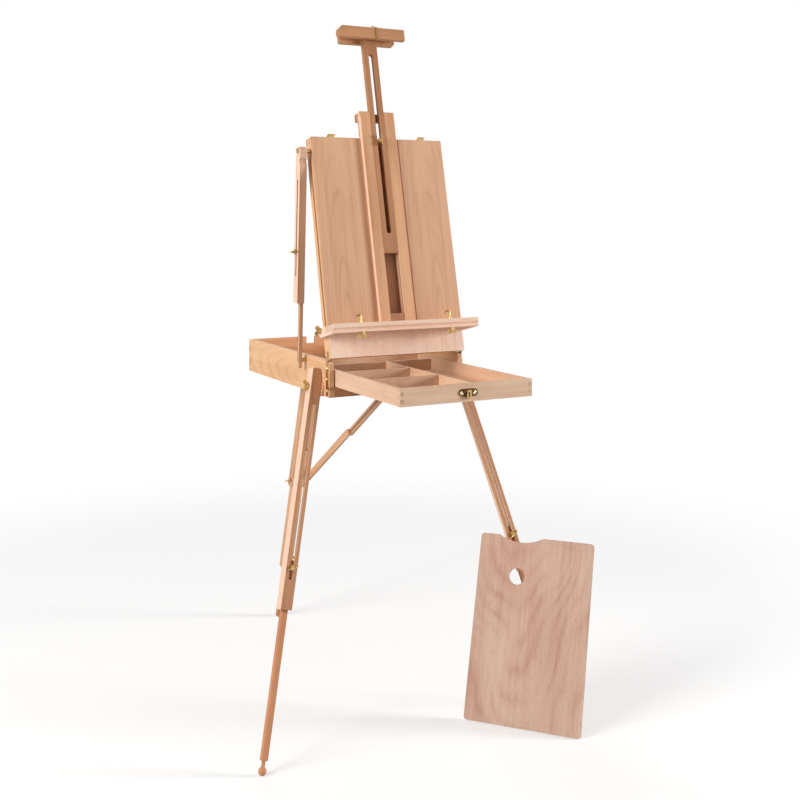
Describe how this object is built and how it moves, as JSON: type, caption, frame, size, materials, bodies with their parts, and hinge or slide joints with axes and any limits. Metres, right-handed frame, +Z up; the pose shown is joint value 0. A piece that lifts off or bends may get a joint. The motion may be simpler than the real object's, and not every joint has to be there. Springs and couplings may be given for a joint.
{
  "type": "sketch box easel",
  "caption": "Wooden sketch box easel standing on folding telescopic legs, with an open drawer, a raised lid carrying a sliding mast and canvas tray, and a separate leaning palette.",
  "frame": {"origin": "centre of the footprint rectangle at floor level", "axes": "+Z up, +Y from the drawer front towards the box back and the rear leg, +X to the right as seen from the drawer"},
  "size_m": [0.853, 1.1558, 1.7412],
  "materials": {
    "beech": "satin",
    "ply": "satin",
    "brass": "satin",
    "old_brass": "satin",
    "leather": "satin"
  },
  "bodies": {
    "box": {"box_left_side": "beech", "box_right_side": "beech", "box_back": "beech", "box_front_rail": "beech", "box_bottom": "ply", "drawer_runners": "beech", "hinge_straps": "brass", "box_bolts": "brass", "mounting_blocks": "beech", "handle_strap": "leather", "handle_mounts": "brass"},
    "drawer": {"drawer_front": "beech", "drawer_sides": "beech", "drawer_back": "beech", "drawer_bottom": "ply", "drawer_dividers": "beech", "latch_plate": "old_brass"},
    "latch": {"latch_hook": "old_brass"},
    "lid": {"lid_left_stile": "beech", "lid_right_stile": "beech", "lid_cross_rails": "beech", "lid_upper_panels": "ply", "lid_lower_panel": "ply", "mast_channel": "beech", "lid_catches": "brass"},
    "mast": {"mast_rails": "beech", "mast_cross_blocks": "beech"},
    "mast_inner": {"mast_slide": "beech", "clamp_front_bar": "beech", "clamp_back_bar": "beech", "clamp_strap": "brass"},
    "knob": {"mast_knob": "brass"},
    "tray": {"tray_ledge": "beech", "tray_cheeks": "beech", "tray_bolts": "brass"},
    "tray_nuts": {"tray_wing_nuts": "brass"},
    "left_clip": {"left_canvas_clip": "brass"},
    "right_clip": {"right_canvas_clip": "brass"},
    "arm_lower": {"side_arm_lower": "beech", "arm_clamp_bolt": "brass"},
    "arm_upper": {"side_arm_upper": "beech", "arm_top_bolt": "brass"},
    "arm_nut": {"arm_wing_nut": "brass"},
    "rear_upper": {"rear_leg_upper": "beech"},
    "rear_middle": {"rear_leg_middle": "beech"},
    "rear_foot": {"rear_leg_foot": "beech"},
    "rear_screw_a": {"rear_upper_screw": "brass"},
    "rear_screw_b": {"rear_lower_screw": "brass"},
    "brace_a": {"brace_upper": "beech"},
    "brace_b": {"brace_lower": "beech", "brace_pins": "brass"},
    "palette": {"palette": "ply"},
    "left_leg": {"left_leg_upper": "beech"},
    "left_leg_foot": {"left_leg_lower": "beech"},
    "left_leg_clamp": {"left_leg_screw": "brass"},
    "left_leg_nut": {"left_leg_wing_nut": "brass"},
    "right_leg": {"right_leg_upper": "beech"},
    "right_leg_foot": {"right_leg_lower": "beech"},
    "right_leg_clamp": {"right_leg_screw": "brass"},
    "right_leg_nut": {"right_leg_wing_nut": "brass"}
  },
  "joints": [
    {"name": "drawer_slide", "type": "slide", "parent": "box", "child": "drawer", "axis": [0, 1, 0], "range_m": [0, 0.338]},
    {"name": "latch_turn", "type": "hinge", "parent": "drawer", "child": "latch", "pos_m": [-0.00954, -0.57489, 0.8525], "axis": [-1, 0, 0], "range_deg": [0, 100]},
    {"name": "lid_hinge", "type": "hinge", "parent": "box", "child": "lid", "pos_m": [-0.00954, -0.22079, 0.9063], "axis": [1, 0, 0], "range_deg": [-77, 0]},
    {"name": "mast_lift", "type": "slide", "parent": "lid", "child": "mast", "axis": [0, 0.225, 0.9744], "range_m": [0, 0.13]},
    {"name": "mast_extension", "type": "slide", "parent": "mast", "child": "mast_inner", "axis": [0, 0.225, 0.9744], "range_m": [-0.15, 0.1]},
    {"name": "mast_knob_turn", "type": "hinge", "parent": "lid", "child": "knob", "pos_m": [-0.00954, -0.13162, 1.43479], "axis": [0, -0.9744, 0.225], "continuous": true},
    {"name": "tray_lift", "type": "slide", "parent": "lid", "child": "tray", "axis": [0, 0.225, 0.9744], "range_m": [0, 0.06]},
    {"name": "tray_nuts_turn", "type": "hinge", "parent": "tray", "child": "tray_nuts", "pos_m": [-0.00954, -0.21147, 0.96444], "axis": [1, 0, 0], "continuous": true},
    {"name": "left_clip_turn", "type": "hinge", "parent": "tray", "child": "left_clip", "pos_m": [-0.13254, -0.27947, 0.98553], "axis": [0, 0.225, 0.9744], "continuous": true},
    {"name": "right_clip_turn", "type": "hinge", "parent": "tray", "child": "right_clip", "pos_m": [0.11346, -0.27947, 0.98553], "axis": [0, 0.225, 0.9744], "continuous": true},
    {"name": "arm_swing", "type": "hinge", "parent": "box", "child": "arm_lower", "pos_m": [-0.20554, -0.08829, 0.88], "axis": [1, 0, 0], "range_deg": [-88.07, 0]},
    {"name": "arm_telescope", "type": "slide", "parent": "arm_lower", "child": "arm_upper", "axis": [0, -0.051, 0.9987], "range_m": [-0.14781, 0]},
    {"name": "arm_nut_turn", "type": "hinge", "parent": "arm_lower", "child": "arm_nut", "pos_m": [-0.22854, -0.10226, 1.15364], "axis": [1, 0, 0], "continuous": true},
    {"name": "left_leg_fold", "type": "hinge", "parent": "box", "child": "left_leg", "pos_m": [-0.21421, -0.18029, 0.823], "axis": [0.9703, 0, -0.2419], "range_deg": [0, 102.3]},
    {"name": "left_leg_extension", "type": "slide", "parent": "left_leg", "child": "left_leg_foot", "axis": [0.2364, 0.213, 0.948], "range_m": [0, 0.3]},
    {"name": "left_leg_clamp_turn", "type": "hinge", "parent": "left_leg_foot", "child": "left_leg_clamp", "pos_m": [-0.3135, -0.28359, 0.42478], "axis": [0.0515, -0.977, 0.2067], "continuous": true},
    {"name": "left_leg_nut_turn", "type": "hinge", "parent": "box", "child": "left_leg_nut", "pos_m": [-0.22828, -0.18029, 0.82651], "axis": [-0.9703, 0, 0.2419], "continuous": true},
    {"name": "right_leg_fold", "type": "hinge", "parent": "box", "child": "right_leg", "pos_m": [0.19512, -0.18029, 0.823], "axis": [0.9703, 0, 0.2419], "range_deg": [0, 102.3]},
    {"name": "right_leg_extension", "type": "slide", "parent": "right_leg", "child": "right_leg_foot", "axis": [-0.2364, 0.213, 0.948], "range_m": [0, 0.3]},
    {"name": "right_leg_clamp_turn", "type": "hinge", "parent": "right_leg_foot", "child": "right_leg_clamp", "pos_m": [0.29441, -0.28359, 0.42478], "axis": [-0.0515, -0.977, 0.2067], "continuous": true},
    {"name": "right_leg_nut_turn", "type": "hinge", "parent": "box", "child": "right_leg_nut", "pos_m": [0.20919, -0.18029, 0.82651], "axis": [0.9703, 0, 0.2419], "continuous": true},
    {"name": "rear_leg_fold", "type": "hinge", "parent": "box", "child": "rear_upper", "pos_m": [-0.00954, 0.31271, 0.787], "axis": [-1, 0, 0], "range_deg": [0, 108]},
    {"name": "rear_middle_extension", "type": "slide", "parent": "rear_upper", "child": "rear_middle", "axis": [0, -0.309, 0.9511], "range_m": [0, 0.16]},
    {"name": "rear_foot_extension", "type": "slide", "parent": "rear_middle", "child": "rear_foot", "axis": [0, -0.309, 0.9511], "range_m": [0, 0.14]},
    {"name": "rear_upper_screw_turn", "type": "hinge", "parent": "rear_upper", "child": "rear_screw_a", "pos_m": [-0.00954, 0.42087, 0.45413], "axis": [-1, 0, 0], "continuous": true},
    {"name": "rear_lower_screw_turn", "type": "hinge", "parent": "rear_middle", "child": "rear_screw_b", "pos_m": [-0.00954, 0.50801, 0.18593], "axis": [1, 0, 0], "continuous": true},
    {"name": "brace_fold", "type": "hinge", "parent": "box", "child": "brace_a", "pos_m": [-0.00954, -0.09769, 0.789], "axis": [-1, 0, 0], "range_deg": [0, 149.59]},
    {"name": "brace_knee", "type": "hinge", "parent": "brace_a", "child": "brace_b", "pos_m": [-0.00954, 0.13532, 0.63904], "axis": [1, 0, 0], "range_deg": [0, 180.5]},
    {"name": "palette_away", "type": "slide", "parent": "box", "child": "palette", "axis": [-0.7645, -0.6447, 0], "range_m": [0, 0.15]}
  ],
  "couplings": [
    {"joint": "arm_swing", "follows": "lid_hinge", "ratio": 1.1372},
    {"joint": "arm_telescope", "follows": "lid_hinge", "m_per_rad": 0.10924},
    {"joint": "brace_fold", "follows": "rear_leg_fold", "ratio": 1.3804},
    {"joint": "brace_knee", "follows": "rear_leg_fold", "ratio": 1.6667}
  ]
}
